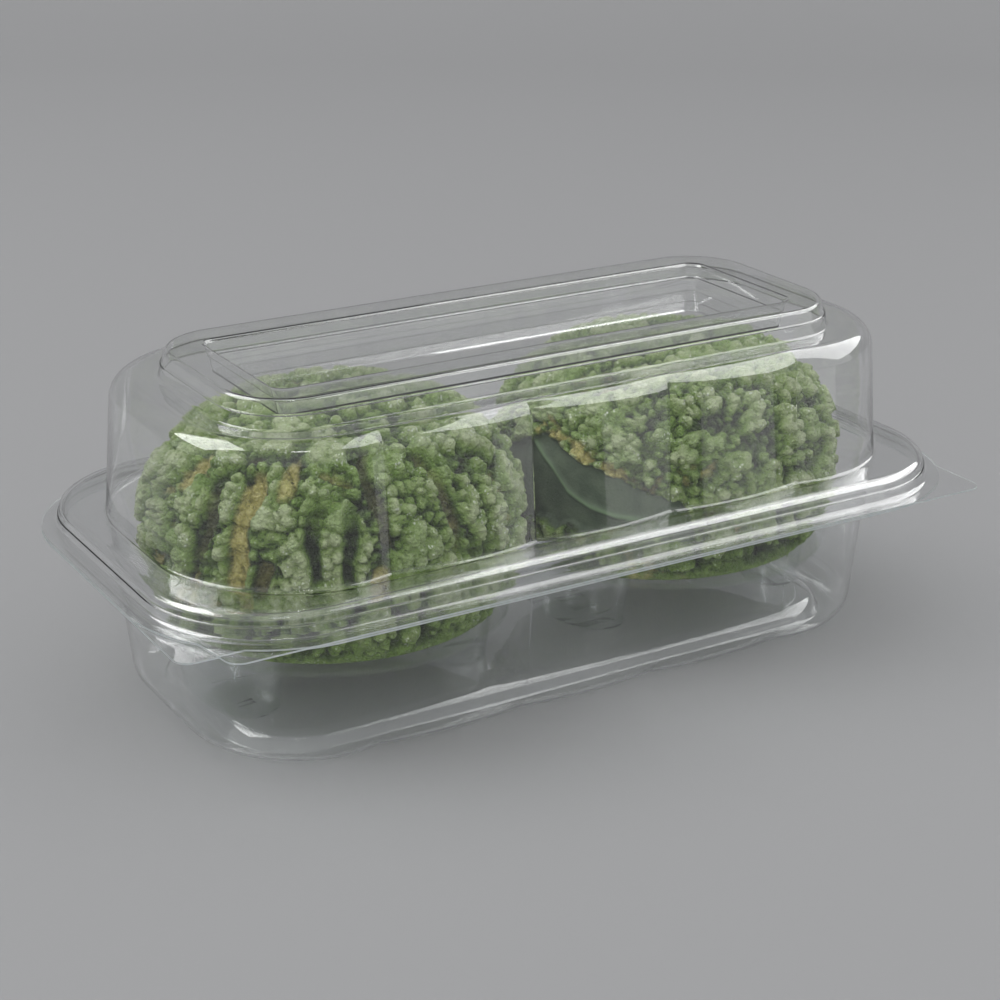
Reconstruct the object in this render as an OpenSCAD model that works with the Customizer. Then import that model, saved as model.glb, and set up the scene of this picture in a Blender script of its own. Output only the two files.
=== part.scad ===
// Clear hinged bakery pack holding two crackle-topped buns on clear inner trays.
// Origin at the middle of the underside, +X along the pack, +Z up, millimetres.

/* [Pack] */
// Length over the flange
pack_l = 240; // [225:1:280]
// Width over the flange
pack_w = 128; // [122:1:150]
// Height of the sheet parting line between base and lid
parting_z = 43.25; // [38:0.25:55]
// Corner radius of the flange
flange_r = 38; // [32:1:41]
// Thickness of the clear sheet
sheet = 0.45; // [0.3:0.05:0.6]

/* [Rim] */
// Width of the flange outside the rim bead
ledge_w = 4.2; // [3:0.1:6]
// Height of the lid's rim shelf above its flange
shelf_h = 6.7; // [5:0.1:9]
// Width of the rim shelf
shelf_w = 7.5; // [6:0.1:9]
// Rounding of the shelf's outer edge
shelf_edge = 0.8; // [0.4:0.1:1.2]
// Depth of the small step half way up the rim
rim_step = 0.5; // [0.2:0.1:0.8]
// Gap between the lid's rim and the base's bead
snap_gap = 0.35; // [0.3:0.05:0.5]
// How far the bead's inner side leans in on its way down
bead_lean = 0.6; // [0.3:0.1:1]
// Gap between the two flanges
flange_gap = 0.1; // [0.05:0.05:0.2]
// Lean of the rim's side over its height
rim_draft = 0.2; // [0.1:0.05:0.4]
// How far the base's wall stands in from the lid's wall
wall_gap = 0.3; // [0.1:0.05:0.6]

/* [Fluted walls] */
// Number of bowed panels along each long wall
panels = 3; // [3]
// Width of one bowed panel
panel_w = 41; // [36:1:42]
// Depth of the creases between the panels
crease_d = 2; // [1:0.1:3]
// Corner radius of the walls where they meet the rim
wall_r = 38; // [30:0.5:42]

/* [Lid] */
// Height of the lid's wall above the rim shelf, up to the shoulder
lid_wall_h = 29.5; // [26:0.5:45]
// How far the lid's wall leans in over that height
lid_draft = 2.3; // [1:0.1:4]
// Radius of the lid's shoulder
shoulder_r = 6; // [4:0.5:8]
// Fall of the deck from the shoulder to the stacking frame
deck_fall = 0.9; // [0:0.1:2]
// Length of the stacking frame
frame_l = 179.3; // [150:0.1:184]
// Width of the stacking frame
frame_w = 65.3; // [56:0.1:72]
// Corner radius of the stacking frame
frame_r = 17.8; // [12:0.1:20]
// Height of the stacking frame above the deck
frame_h = 7.4; // [5:0.1:10]
// Width of the stacking frame's top band along the pack
frame_band_x = 12.2; // [8:0.1:16]
// Width of the stacking frame's top band across the pack
frame_band_y = 10.2; // [7:0.1:13]
// Corner radius of the recess inside the frame
recess_r = 3.5; // [2:0.1:8]
// Depth of the recess inside the frame
recess_h = 7.4; // [4:0.1:8]
// Lean of the frame's walls over their height
frame_draft = 1.2; // [0.5:0.1:2]
// Width of the small step half way up the frame's walls
frame_step = 0.5; // [0.2:0.1:1]
// Rounding of the frame's top edges
frame_lip = 0.5; // [0.3:0.1:1]
// Rise of the small steps in the rim and the frame
step_rise = 0.2; // [0.1:0.05:0.4]

/* [Base] */
// How far the base's end walls lean in towards the bottom
base_draft_x = 3.6; // [2:0.1:5]
// How far the base's long walls lean in towards the bottom
base_draft_y = 2.4; // [1:0.1:4]
// Radius between the base's wall and its bottom
base_fillet = 8; // [5:0.5:10]
// Length of the raised floor
floor_l = 181; // [160:1:184]
// Width of the raised floor
floor_w = 69; // [60:1:74]
// Corner radius of the raised floor
floor_r = 18; // [12:0.5:20]
// Height of the raised floor above the table
floor_h = 4.6; // [3:0.1:6]
// Width of the slope round the raised floor
floor_slope = 2.2; // [1:0.1:3]

/* [Pull tabs] */
// Reach of the lid's left tab along the front, from the middle
lid_tab_left = 110.5; // [106:0.5:114]
// Reach of the lid's right tab along the front, from the middle
lid_tab_right = 115; // [108:0.5:117]
// Reach of the base's tab along the left end, from the middle
base_tab = 57; // [54:0.5:60]
// Corner radius of the tabs
tab_r = 4; // [2:0.5:6]

/* [Inner trays] */
// Gap between an inner tray and the foot of the base's long walls
tray_side_gap = 0.9; // [0.8:0.1:4]
// Gap between an inner tray and the foot of the base's end wall
tray_end_gap = 2.7; // [1:0.1:8]
// Smallest gap between the two inner trays
tray_apart = 2; // [1:0.5:8]
// Height of an inner tray above the raised floor
tray_h = 18; // [14:0.5:22]
// Thickness of an inner tray
tray_t = 0.4; // [0.3:0.05:0.6]
// Height of the lip round an inner tray
lip_h = 0.9; // [0.5:0.1:2]
// Distance from an inner tray's edge in to the middle of its feet
foot_in = 13.8; // [12:0.2:18]
// Half width of a foot at its bottom
foot_w = 8; // [6:0.5:9]
// Lean of a foot's walls over its height
foot_draft = 2; // [1:0.1:3]
// Half of the angle that a foot covers
foot_angle = 22; // [15:1:28]

/* [Buns] */
// Gap between a bun and the creases of the lid's long walls
bun_side_gap = 0.7; // [0.5:0.1:6]
// Gap between a bun and the lid's end wall
bun_end_gap = 2.8; // [1:0.1:10]
// Gap between the two buns
bun_apart = 0.4; // [0.3:0.1:6]
// Gap between a bun and the recess of the lid
bun_top_gap = 1.1; // [0.6:0.1:12]
// Height of a bun's widest place above its underside
bun_waist = 26; // [18:0.5:30]
// How far a bun's crust stands out over its underside
bun_tuck = 9; // [7:0.5:14]
// Depth of the gaps between the crust's plates
crack_d = 3.2; // [1.5:0.1:4.5]
// Width of the gaps between the crust's plates
crack_w = 9; // [5:0.5:12]
// Number of plates on a bun's crust
plates = 64; // [40:1:90]
// Angle by which the right bun is turned from the left one
right_bun_turn = 101; // [0:1:359]

/* [Hidden] */

// Smoothness of the lofts: steps for each panel, corner and short end
panel_steps = 4;
corner_steps = 10;
tab_steps = 4;
end_steps = 2;
// Smoothness of a bun: points round it and rings up it
bun_sides = 60;
bun_rings = 18;
// Smoothness of round bodies
$fn = 96;
// Steps of a rounded shoulder
shoulder_steps = 4;
// Smallest corner radius that an outline keeps
least_r = 0.3;
// Share of a bun's rings that lie below its widest place
low_share = 0.3;
// How square a bun's top is, across it and up it: 1 is an ellipse
crown_across = 0.88;
crown_up = 0.95;
// Golden angle, which spreads the crust's plates, and how far they wander from it
golden = 137.508;
plate_wander = 14;

half_l = pack_l / 2;
half_w = pack_w / 2;
crease_x = panels * panel_w / 2;
flange_top = parting_z + flange_gap / 2 + sheet;
shelf_z = flange_top + shelf_h - sheet;
step_z = (flange_top + shelf_z) / 2;
deck_z = shelf_z + lid_wall_h + shoulder_r;
frame_foot_z = deck_z - deck_fall;
frame_z = frame_foot_z + frame_h;
frame_step_z = frame_foot_z + frame_h / 2;
recess_z = frame_z - recess_h;
recess_step_z = frame_z - recess_h / 2;
recess_under_z = recess_z - sheet;
bead_z = shelf_z - sheet - snap_gap;
floor_top = floor_h + sheet;
tray_top = floor_top + tray_h;

// An outline is [half length, half width, corner radius, crease depth, height].
// Moves an outline in from its edge by dx along the pack and dy across it.
function inward(o, dx, dy, z) = [o[0] - dx, o[1] - dy, o[2] - (dx + dy) / 2, o[3], z];
function raised_to(o, z) = [o[0], o[1], o[2], o[3], z];
function creased(o, d) = [o[0], o[1], o[2], d, o[4]];
function framed(l, w, r, z) = [l / 2, w / 2, r, 0, z];

// How far the wall is drawn in at distance s from its nearest crease
function drawn_in(s, d) = s >= panel_w / 2 ? 0 : d * pow(1 - 2 * s / panel_w, 2);

// The points of a front right corner, from its front end to its right end
function round_corner(o) =
    [for (k = [0:corner_steps])
        let (a = -90 + 90 * k / corner_steps,
             s = o[0] - o[2] - crease_x + o[2] * (a + 90) * PI / 180,
             r = o[2] - drawn_in(s, o[3]))
        [o[0] - o[2] + r * cos(a), -(o[1] - o[2]) + r * sin(a)]];

// The same corner with a tab whose side stands at x = reach
function front_tab_corner(o, reach) =
    let (cx = o[0] - o[2],
         cy = -(o[1] - o[2]),
         a0 = -acos((reach - cx) / o[2]),
         arc_steps = corner_steps - tab_steps - 1)
    concat(
        [for (k = [0:tab_steps])
            let (a = -90 + 90 * k / tab_steps)
            [reach - tab_r + tab_r * cos(a), -o[1] + tab_r + tab_r * sin(a)]],
        [for (k = [0:arc_steps])
            let (a = a0 * (1 - k / arc_steps))
            [cx + o[2] * cos(a), cy + o[2] * sin(a)]]);

// The same corner with a tab whose side stands at y = -reach
function side_tab_corner(o, reach) =
    let (q = front_tab_corner([o[1], o[0], o[2]], reach))
    [for (k = [corner_steps:-1:0]) [-q[k][1], -q[k][0]]];

function mirror_x(q) = [for (k = [len(q) - 1:-1:0]) [-q[k][0], q[k][1]]];
function mirror_y(q) = [for (k = [len(q) - 1:-1:0]) [q[k][0], -q[k][1]]];

// The bowed panels of a front wall, from left to right
function panel_points(o) =
    [for (k = [0:panels * panel_steps])
        let (x = -crease_x + k * panel_w / panel_steps,
             m = k % panel_steps,
             s = min(m, panel_steps - m) * panel_w / panel_steps)
        [x, -o[1] + drawn_in(s, o[3])]];

// The points of a right end between its corners
function end_points(o) =
    [for (k = [1:end_steps - 1]) [o[0], (o[1] - o[2]) * (2 * k / end_steps - 1)]];

// A whole outline from its front left crease round, given its two front corners
function outline(o, right, left) =
    concat(panel_points(o), right, end_points(o), mirror_y(round_corner(o)),
           mirror_y(panel_points(o)), mirror_x(mirror_y(round_corner(o))),
           mirror_x(end_points(o)), left);

function raise(q, z) = [for (p = q) [p[0], p[1], z]];
function plain_ring(o) = raise(outline(o, round_corner(o), mirror_x(round_corner(o))), o[4]);

// Unit vector and its normal in the section of the wall
function unit(v) = v / max(norm(v), 0.0001);
function turned(v) = [-v[1], v[0]];
function section_point(o) = [o[0], o[4]];

// The direction in which the sheet's other face lies at outline i of a section
function face_normal(s, i) =
    let (here = section_point(s[i]),
         before = i == 0 ? here + here - section_point(s[1]) : section_point(s[i - 1]),
         after = i == len(s) - 1 ? [0, here[1]] : section_point(s[i + 1]),
         n1 = turned(unit(here - before)),
         n2 = turned(unit(after - here)))
    (n1 + n2) / (1 + n1 * n2);

// The outlines of the sheet's other face, t away
function other_face(s, t) =
    [for (i = [0:len(s) - 1])
        let (n = face_normal(s, i) * t)
        [s[i][0] + n[0], s[i][1] + n[0], max(s[i][2] + n[0], least_r), s[i][3], s[i][4] + n[1]]];

// A closed sheet between two faces, each a list of rings from the edge to the middle
module sheet_body(upper, lower) {
    n = len(upper[0]);
    k = len(upper);
    m = n * k;
    points = concat([for (r = upper) each r], [for (r = lower) each r],
                    [[0, 0, upper[k - 1][0][2]], [0, 0, lower[k - 1][0][2]]]);
    sides = [for (i = [0:k - 2], j = [0:n - 1])
        let (a = i * n + j, b = i * n + (j + 1) % n)
        each [[a, a + n, b + n], [a, b + n, b],
              [m + a, m + b + n, m + a + n], [m + a, m + b, m + b + n]]];
    edge = [for (j = [0:n - 1])
        let (b = (j + 1) % n)
        each [[j, b, m + b], [j, m + b, m + j]]];
    caps = [for (j = [0:n - 1])
        let (b = (j + 1) % n)
        each [[m - n + b, m - n + j, m + m], [m + m - n + j, m + m - n + b, m + m + 1]]];
    polyhedron(points, concat(sides, edge, caps), convexity = 10);
}

// The lid's outer face from the flange edge to the middle of its recess
flange = [half_l, half_w, flange_r, 0, flange_top];
skirt_foot = inward(flange, ledge_w, ledge_w, flange_top);
skirt_top = raised_to(skirt_foot, step_z);
rim_side = inward(skirt_foot, rim_step, rim_step, step_z + step_rise);
rim_edge = inward(rim_side, rim_draft / 2, rim_draft / 2, shelf_z - shelf_edge);
shelf_outer = inward(rim_edge, shelf_edge, shelf_edge, shelf_z);
wall_foot = [shelf_outer[0] - shelf_w, shelf_outer[1] - shelf_w, wall_r, crease_d, shelf_z];
wall_top = inward(wall_foot, lid_draft, lid_draft, shelf_z + lid_wall_h);
frame_outer = framed(frame_l, frame_w, frame_r, frame_z);
recess_outer = [frame_l / 2 - frame_band_x, frame_w / 2 - frame_band_y, recess_r, 0, frame_z];

// The outlines of a rounded shoulder above (up = 1) or below (up = -1) a wall; the creases die away over it
function shoulder(o, r, up) =
    [for (k = [1:shoulder_steps])
        let (a = 90 * k / shoulder_steps,
             q = inward(o, r * (1 - cos(a)), r * (1 - cos(a)), o[4] + up * r * sin(a)))
        creased(q, o[3] * cos(a))];

function lid_section() = concat(
    [flange, skirt_foot, skirt_top, rim_side, rim_edge, shelf_outer, wall_foot, wall_top],
    shoulder(wall_top, shoulder_r, 1),
    [inward(frame_outer, -frame_draft - frame_step, -frame_draft - frame_step, frame_foot_z),
     inward(frame_outer, -frame_draft / 2 - frame_step, -frame_draft / 2 - frame_step, frame_step_z),
     inward(frame_outer, -frame_draft / 2, -frame_draft / 2, frame_step_z + step_rise),
     raised_to(frame_outer, frame_z - frame_lip),
     inward(frame_outer, frame_lip, frame_lip, frame_z),
     inward(recess_outer, -frame_lip, -frame_lip, frame_z),
     raised_to(recess_outer, frame_z - frame_lip),
     inward(recess_outer, frame_draft / 2, frame_draft / 2, recess_step_z + step_rise),
     inward(recess_outer, frame_draft / 2 + frame_step, frame_draft / 2 + frame_step, recess_step_z),
     inward(recess_outer, frame_draft + frame_step, frame_draft + frame_step, recess_z)]);

// The base's outer face from the flange edge to the middle of its raised floor
base_flange_z = parting_z - flange_gap / 2 - sheet;
bead_in = sheet + snap_gap;
bead_foot = inward(skirt_foot, bead_in + sheet + rim_step, bead_in + sheet + rim_step, base_flange_z);
bead_edge = inward(bead_foot, rim_draft, rim_draft, bead_z - shelf_edge - sheet);
bead_outer = inward(bead_edge, shelf_edge, shelf_edge, bead_z - sheet);
bead_inner = creased(inward(wall_foot, wall_gap, wall_gap, bead_z - sheet), 0);
base_wall_top = creased(inward(bead_inner, bead_lean, bead_lean, base_flange_z - sheet), crease_d);
base_wall_foot = inward(base_wall_top, base_draft_x, base_draft_y, base_fillet);
raised_floor = framed(floor_l, floor_w, floor_r, floor_h);

function base_section() = concat(
    [[half_l, half_w, flange_r, 0, base_flange_z], bead_foot, bead_edge, bead_outer, bead_inner,
     base_wall_top, base_wall_foot],
    shoulder(base_wall_foot, base_fillet, -1),
    [inward(raised_floor, -floor_slope, -floor_slope, 0), raised_floor]);

// The inner trays, as big as the base's walls leave room for
tray_r = min(base_wall_foot[1] - tray_side_gap, (base_wall_foot[0] - tray_end_gap - tray_apart / 2) / 2);
tray_x = base_wall_foot[0] - tray_end_gap - tray_r;
foot_mid_r = tray_r - foot_in;

// The buns, which fill the lid
bun_half_l = (wall_foot[0] - sheet - bun_end_gap - bun_apart / 2) / 2;
bun_half_w = wall_foot[1] - crease_d - sheet - bun_side_gap;
bun_x = bun_apart / 2 + bun_half_l;
bun_h = recess_under_z - bun_top_gap - tray_top;

// The rings of a face, whose first outline has the corners given
function rings(s, right, left) =
    concat([raise(outline(s[0], right, left), s[0][4])],
           [for (i = [1:len(s) - 1]) plain_ring(s[i])]);

module lid() {
    s = lid_section();
    t = other_face(s, sheet);
    right = front_tab_corner(flange, lid_tab_right);
    left = mirror_x(front_tab_corner(flange, lid_tab_left));
    color("white", 0.3)
    sheet_body(rings(s, right, left), rings(t, right, left));
}

module base_tray() {
    s = base_section();
    t = other_face(s, -sheet);
    right = round_corner(s[0]);
    left = mirror_x(side_tab_corner(flange, base_tab));
    color("gainsboro", 0.3)
    sheet_body(rings(t, right, left), rings(s, right, left));
}

// A foot's body: a curved trough with round ends, wider by draft at its top
module foot_body(w, h, draft) {
    rotate([0, 0, -foot_angle])
    rotate_extrude(angle = 2 * foot_angle)
    polygon([[foot_mid_r - w, 0], [foot_mid_r + w, 0],
             [foot_mid_r + w + draft, h], [foot_mid_r - w - draft, h]]);
    for (side = [-1, 1])
        rotate([0, 0, side * foot_angle])
        translate([foot_mid_r, 0, 0])
        cylinder(r1 = w, r2 = w + draft, h = h);
}

// An inner tray: a thin round plate with a lip, on two hollow feet
module inner_tray(x) {
    color("lightcyan", 0.3)
    translate([x, 0, floor_top])
    difference() {
        union() {
            translate([0, 0, tray_h - tray_t])
            cylinder(r = tray_r, h = tray_t);
            translate([0, 0, tray_h - tray_t])
            difference() {
                cylinder(r = tray_r, h = tray_t + lip_h);
                translate([0, 0, -1])
                cylinder(r = tray_r - tray_t, h = tray_t + lip_h + 2);
            }
            for (turn = [0, 180])
                rotate([0, 0, turn])
                foot_body(foot_w, tray_h, foot_draft);
        }
        for (turn = [0, 180])
            rotate([0, 0, turn])
            translate([0, 0, tray_t])
            foot_body(foot_w - tray_t, tray_h, foot_draft);
    }
}

// Seeds spread evenly over a ball, with a small wander that a sine gives them
function seed_dir(i, turn) =
    let (z = 1 - 2 * (i + 0.5) / plates + 0.5 * sin(i * 73) / plates,
         a = i * golden + plate_wander * sin(i * 41) + turn,
         q = sqrt(max(0, 1 - z * z)))
    [q * cos(a), q * sin(a), z];

// How deep the crust is drawn in at direction d: 0 on a plate, 1 in a gap
function gap_at(d, seeds) =
    let (far = [for (s = seeds) norm(d - s)],
         near = min(far),
         next = min([for (f = far) f == near ? 10 : f]),
         e = (next - near) * bun_half_w / crack_w)
    e >= 1 ? 0 : pow(1 - e, 2);

// A bun's smooth profile at share u of the way up: [how far in from its widest place, height]
function bun_profile(u) =
    u < low_share
        ? let (a = 90 * (1 - u / low_share))
          [bun_tuck * (1 - cos(a)), bun_waist * (1 - sin(a))]
        : let (a = 90 * (u - low_share) / (1 - low_share))
          [bun_half_w * (1 - pow(cos(a), crown_across)),
           bun_waist + (bun_h - bun_waist) * pow(sin(a), crown_up)];

// A point of a bun's smooth surface, at share u of the way up and angle a
function bun_point(u, a) =
    let (q = bun_profile(u), k = (bun_half_w - q[0]) / bun_half_w)
    [k * bun_half_l * cos(a), k * bun_half_w * sin(a), q[1]];

module bun(x, turn) {
    seeds = [for (i = [0:plates - 1]) seed_dir(i, turn)];
    middle = [0, 0, bun_waist];
    crust = [for (k = [0:bun_rings - 1], j = [0:bun_sides - 1])
        let (p = bun_point(k / bun_rings, 360 * j / bun_sides + (k % 2) * 180 / bun_sides),
             v = unit(p - middle),
             in = k == 0 ? 0 : crack_d * gap_at(v, seeds))
        p - v * in];
    top = len(crust);
    sides = [for (k = [0:bun_rings - 2], j = [0:bun_sides - 1])
        let (a = k * bun_sides + j, b = k * bun_sides + (j + 1) % bun_sides, u = bun_sides)
        each k % 2 == 0 ? [[a, a + u, b], [b, a + u, b + u]] : [[a, a + u, b + u], [a, b + u, b]]];
    cap = [for (j = [0:bun_sides - 1])
        [top - bun_sides + j, top, top - bun_sides + (j + 1) % bun_sides]];
    underside = [for (j = [0:bun_sides - 1]) [j, (j + 1) % bun_sides, top + 1]];
    color("olivedrab")
    translate([x, 0, tray_top])
    polyhedron(concat(crust, [[0, 0, bun_h - crack_d * gap_at([0, 0, 1], seeds)], [0, 0, 0]]),
               concat(sides, cap, underside), convexity = 6);
}

module left_inner_tray() { inner_tray(-tray_x); }
module right_inner_tray() { inner_tray(tray_x); }
module left_bun() { bun(-bun_x, 0); }
module right_bun() { bun(bun_x, right_bun_turn); }

base_tray();
lid();
left_inner_tray();
right_inner_tray();
left_bun();
right_bun();
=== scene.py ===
"""Looks of a clear hinged bakery pack holding two crackle-topped buns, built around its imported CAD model."""
import math

import bpy
import numpy as np
from mathutils import Matrix, Vector


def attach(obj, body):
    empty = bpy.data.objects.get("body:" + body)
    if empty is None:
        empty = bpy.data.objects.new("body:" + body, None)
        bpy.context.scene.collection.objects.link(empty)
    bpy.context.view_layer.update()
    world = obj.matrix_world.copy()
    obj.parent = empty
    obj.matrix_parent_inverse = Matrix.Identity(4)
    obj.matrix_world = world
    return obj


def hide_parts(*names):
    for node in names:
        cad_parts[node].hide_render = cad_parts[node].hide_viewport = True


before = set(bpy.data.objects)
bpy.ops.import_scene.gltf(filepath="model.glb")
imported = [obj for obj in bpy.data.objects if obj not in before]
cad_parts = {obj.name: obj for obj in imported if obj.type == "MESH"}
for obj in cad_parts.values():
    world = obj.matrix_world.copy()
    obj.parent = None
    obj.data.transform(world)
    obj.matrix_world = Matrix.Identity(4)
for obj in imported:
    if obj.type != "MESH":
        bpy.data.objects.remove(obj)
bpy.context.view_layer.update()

MM = 0.001

# Camera: place and lens that match the photograph
CAMERA_TARGET = (-1.1, 0.6, 40.7)
CAMERA_DISTANCE = 591.4
CAMERA_YAW = 31.16
CAMERA_PITCH = 21.25
CAMERA_ROLL = -0.35
CAMERA_LENS = 77.89

# Pack, as the CAD source has it
PACK_L = 240.0
PACK_W = 128.0
PARTING_Z = 43.25
FLANGE_R = 38.0
SHEET = 0.45
LEDGE_W = 4.2
SHELF_H = 6.7
SHELF_W = 7.5
SHELF_EDGE = 0.8
RIM_STEP = 0.5
SNAP_GAP = 0.35
BEAD_LEAN = 0.6
FLANGE_GAP = 0.1
RIM_DRAFT = 0.2
WALL_GAP = 0.3
PANELS = 3
PANEL_W = 41.0
CREASE_D = 2.0
WALL_R = 38.0
CREASE_HOLD = 0.3
LID_WALL_H = 29.5
LID_DRAFT = 2.3
SHOULDER_R = 6.0
DECK_FALL = 0.9
FRAME_L = 179.3
FRAME_W = 65.3
FRAME_R = 17.8
FRAME_H = 7.4
FRAME_BAND_X = 12.2
FRAME_BAND_Y = 10.2
RECESS_R = 3.5
RECESS_H = 7.4
FRAME_DRAFT = 1.2
FRAME_STEP = 0.5
FRAME_LIP = 0.8
STEP_RISE = 0.2
BASE_DRAFT_X = 3.6
BASE_DRAFT_Y = 2.4
BASE_FILLET = 8.0
FLOOR_L = 181.0
FLOOR_W = 69.0
FLOOR_R = 18.0
FLOOR_H = 4.6
FLOOR_SLOPE = 2.2
LID_TAB_LEFT = 110.5
LID_TAB_RIGHT = 115.0
BASE_TAB = 57.0
TAB_R = 4.0

# Bends that are softer in the picture than in the CAD
SOFT_EDGE_IN = 1.3
SOFT_EDGE_DOWN = 0.4
COVE_OUT = 2.4
COVE_RISE = 1.7
LID_CREASE_HOLD = 0.75
FLOOR_FOOT_CUT = 1.6
FLOOR_EDGE_CUT = 3.6
FLOOR_BORDER = 9.0

# Inner trays and buns
TRAY_H = 18.0
BUN_END_GAP = 2.8
BUN_SIDE_GAP = 0.7
BUN_APART = 0.4
BUN_TOP_GAP = 1.1
BUN_WAIST = 26.0
BUN_TUCK = 9.0
CROWN_ACROSS = 0.88
CROWN_UP = 0.95
# Angle below level at which the ball's directions reach a bun's flat underside
UNDER_EDGE = 50.0

# Worked out from the sizes above
CREASE_X = PANELS * PANEL_W / 2
FLANGE_TOP = PARTING_Z + FLANGE_GAP / 2 + SHEET
SHELF_Z = FLANGE_TOP + SHELF_H - SHEET
STEP_Z = (FLANGE_TOP + SHELF_Z) / 2
DECK_Z = SHELF_Z + LID_WALL_H + SHOULDER_R
FRAME_FOOT_Z = DECK_Z - DECK_FALL
FRAME_Z = FRAME_FOOT_Z + FRAME_H
RECESS_Z = FRAME_Z - RECESS_H
BEAD_Z = SHELF_Z - SHEET - SNAP_GAP
FLOOR_TOP = FLOOR_H + SHEET
TRAY_TOP = FLOOR_TOP + TRAY_H
RIM_IN = LEDGE_W + RIM_STEP + RIM_DRAFT / 2 + SHELF_EDGE
WALL_FOOT_L = PACK_L / 2 - RIM_IN - SHELF_W
WALL_FOOT_W = PACK_W / 2 - RIM_IN - SHELF_W
BUN_HALF_L = (WALL_FOOT_L - SHEET - BUN_END_GAP - BUN_APART / 2) / 2
BUN_HALF_W = WALL_FOOT_W - CREASE_D - SHEET - BUN_SIDE_GAP
BUN_X = BUN_APART / 2 + BUN_HALF_L
BUN_H = RECESS_Z - SHEET - BUN_TOP_GAP - TRAY_TOP

# How strongly the sheet bends light, how much of it a face mirrors when met squarely, and its tints
SHEET_IOR = 1.5
FACE_MIRROR = 0.045
SHEET_TINT = (0.985, 0.99, 0.988)
TRAY_TINT = (0.985, 0.99, 0.99)

# Squares along an edge of a bun's grid, and the sizes of the crust's lumps, knobs and grains
BUN_SQUARES = 126
LUMP = 6.4
KNOB = 3.2
GRAIN = 1.4

# Each bun's seed, its crust plates' width and gap, and that width as a share of their height
LEFT_CRUST = (5, 11.5, 2.9, 0.55)
RIGHT_CRUST = (41, 8.6, 2.7, 0.8)

# Floor: how far it reaches, where it starts to sweep up, the sweep's radius and how high it ends
STAGE_REACH = 6000
SWEEP_START = 900
SWEEP_R = 600
SWEEP_TOP = 3000
PAPER = (0.297, 0.297, 0.302)

# Lamps: name, azimuth, elevation, distance, width, height, radiance and what sees them
LAMPS = (
    ("box_left", 146, 47, 1.6, 1.15, 1.0, 5.4, "gloss"),
    ("box_right", -8, 42, 1.6, 1.95, 1.3, 3.3, "gloss"),
    ("small_lamp", -112, 66, 1.5, 0.3, 0.09, 9.0, "gloss"),
    ("card_right", -53, -3, 0.236, 0.1, 0.07, 0.55, "gloss"),
    ("fill_left", 128, 55, 1.6, 1.3, 1.1, 1.9, "soft"),
    ("fill_right", 5, 55, 1.6, 1.3, 1.1, 0.4, "soft"),
    ("fill_front", -122, 30, 1.6, 1.3, 0.8, 1.8, "soft"))
WORLD_COLOUR = (0.99, 1.0, 1.01)
WORLD_STRENGTH = 0.83

# Points along a panel, a flank, a corner, a tab's tip and half an end of an outline, and rings of a bend
PANEL_STATIONS = (0, 0.006, 0.018, 0.04, 0.08, 0.14, 0.2, 0.28, 0.36, 0.43)
FLANK_STEPS = 10
CORNER_STEPS = 36
TAB_STEPS = 10
END_STEPS = 8
COVE_STEPS = 8
LID_SHOULDER_STEPS = 12
BASE_SHOULDER_STEPS = 10
MIDDLE_STEPS = 8


def flat(l, w, r, d, z):
    """An outline: half length, half width, corner radius, crease depth and height."""
    return np.array([l, w, r, d, z], float)


def inward(o, dx, dy, z):
    """An outline moved in from its edge by dx along the pack and dy across it."""
    return flat(o[0] - dx, o[1] - dy, o[2] - (dx + dy) / 2, o[3], z)


def creased(o, d):
    """An outline with another crease depth."""
    return flat(o[0], o[1], o[2], d, o[4])


def framed(l, w, r, z):
    """An outline without creases, from its whole length and width."""
    return flat(l / 2, w / 2, r, 0, z)


def drawn_in(s, d):
    """How far the wall is drawn in at distance s from its nearest crease."""
    return np.where(s >= PANEL_W / 2, 0, d * (1 - 2 * np.minimum(s, PANEL_W / 2) / PANEL_W) ** 2)


def panel_points(o):
    """The bowed panels of a front wall, from left to right."""
    shares = list(PANEL_STATIONS) + [0.5] + [1 - s for s in reversed(PANEL_STATIONS[1:])]
    xs = [-CREASE_X + (k + s) * PANEL_W for k in range(PANELS) for s in shares] + [CREASE_X]
    xs = np.array(xs)
    m = np.mod(xs + CREASE_X, PANEL_W)
    s = np.minimum(m, PANEL_W - m)
    return np.stack([xs, -o[1] + drawn_in(s, o[3])], 1)


def tab_corner(o, a, tip_x, tip_y):
    """Corner points at the turns a, drawn out to a tab whose rounded tip lies at (tip_x, tip_y)."""
    l, w, r = o[:3]
    cx, cy = l - r, r - w
    along = (tip_x - cx) / np.maximum(np.cos(a), 1e-6)
    across = (tip_y - cy) / np.minimum(np.sin(a), -1e-6)
    reach = np.maximum(r, np.minimum(along, across))
    points = np.stack([cx + reach * np.cos(a), cy + reach * np.sin(a)], 1)
    t = np.radians(np.linspace(-90, 0, TAB_STEPS + 1))
    tip = np.stack([tip_x - TAB_R + TAB_R * np.cos(t), tip_y + TAB_R + TAB_R * np.sin(t)], 1)
    first = int(np.argmin(abs(a - math.atan2(tip_y - cy, tip_x - cx)))) - TAB_STEPS // 2
    points[first:first + TAB_STEPS + 1] = tip
    return points


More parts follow.
